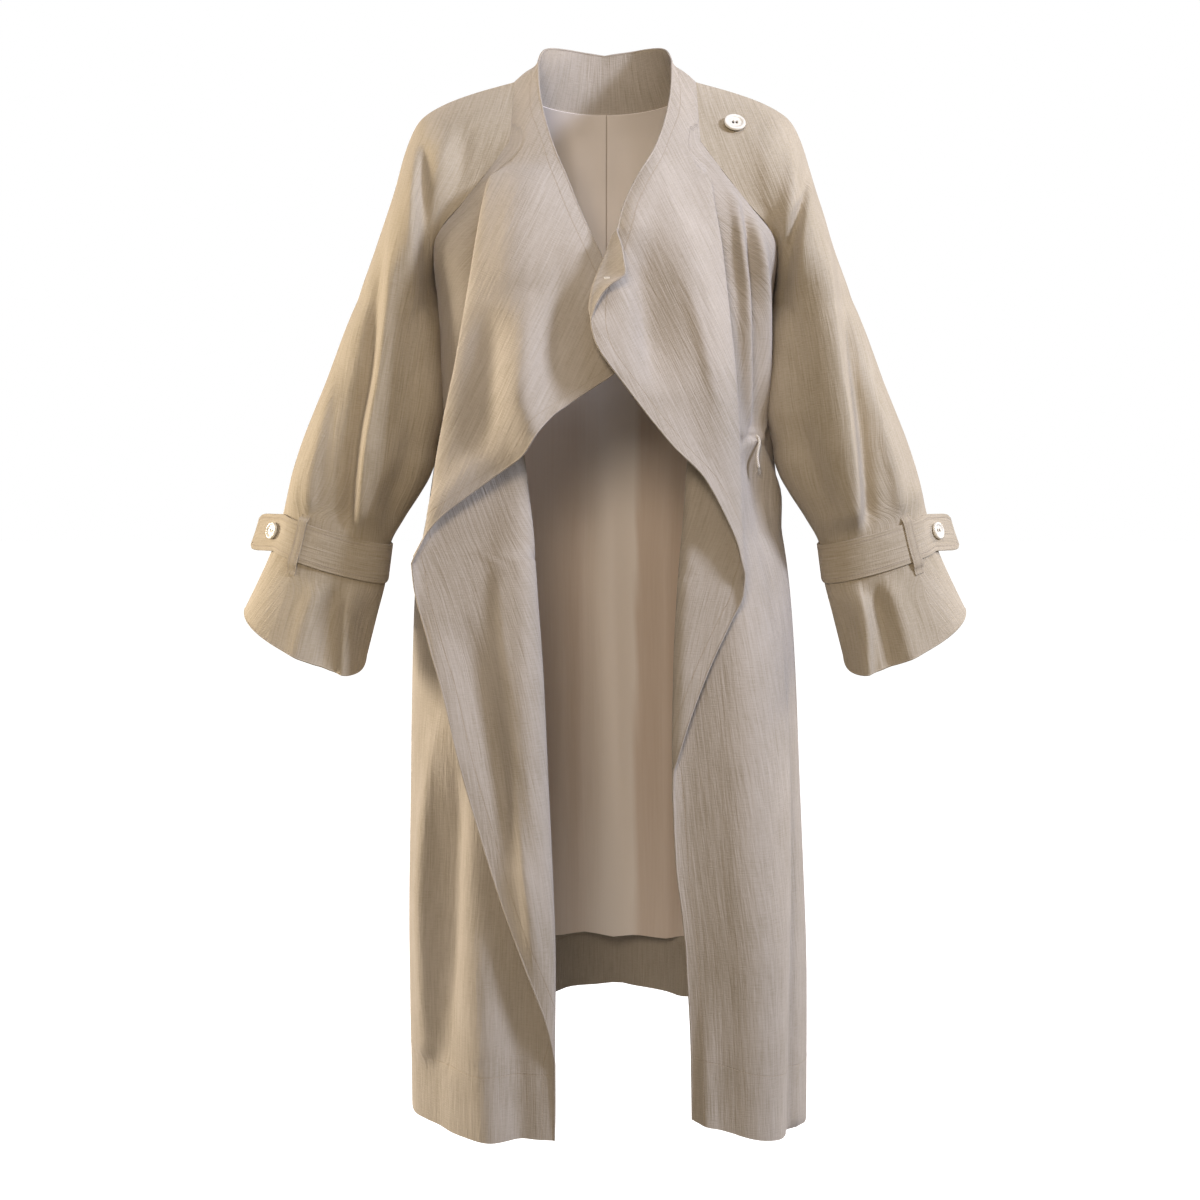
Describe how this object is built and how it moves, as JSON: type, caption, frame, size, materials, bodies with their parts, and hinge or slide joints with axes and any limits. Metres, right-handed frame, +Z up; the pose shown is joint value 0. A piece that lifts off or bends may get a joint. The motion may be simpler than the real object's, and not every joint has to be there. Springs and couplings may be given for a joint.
{
  "type": "drawstring long coat",
  "caption": "Open-front long coat in slubby linen with wide cascading lapels, raglan sleeves, strapped cuffs, a drawn waist and a satin back lining",
  "frame": {"origin": "centre of the neck, level with the shoulder ends of the neck seam, where the wearer's shoulders hold the coat", "axes": "+Z up towards the collar, the open front faces -Y, +X is the wearer's left"},
  "size_m": [0.7972, 0.456, 1.2057],
  "materials": {
    "linen": "slubby linen weave, matt",
    "linen_sleeve": "slubby linen weave, matt",
    "satin_lining": "smooth lining satin, soft sheen",
    "button_shell": "ivory, polished",
    "cotton_cord": "cotton cord, matt"
  },
  "bodies": {
    "root": {"front_right": "linen", "front_left": "linen", "back": "linen", "collar": "linen", "cuff_strap_right": "linen", "cuff_strap_left": "linen", "strap_loop_right": "linen", "strap_loop_left": "linen", "sleeve_right_front": "linen_sleeve", "sleeve_right_back": "linen_sleeve", "sleeve_left_front": "linen_sleeve", "sleeve_left_back": "linen_sleeve", "back_lining": "satin_lining", "shoulder_button": "button_shell", "strap_button_right": "button_shell", "strap_button_left": "button_shell", "drawstring": "cotton_cord"}
  },
  "joints": []
}
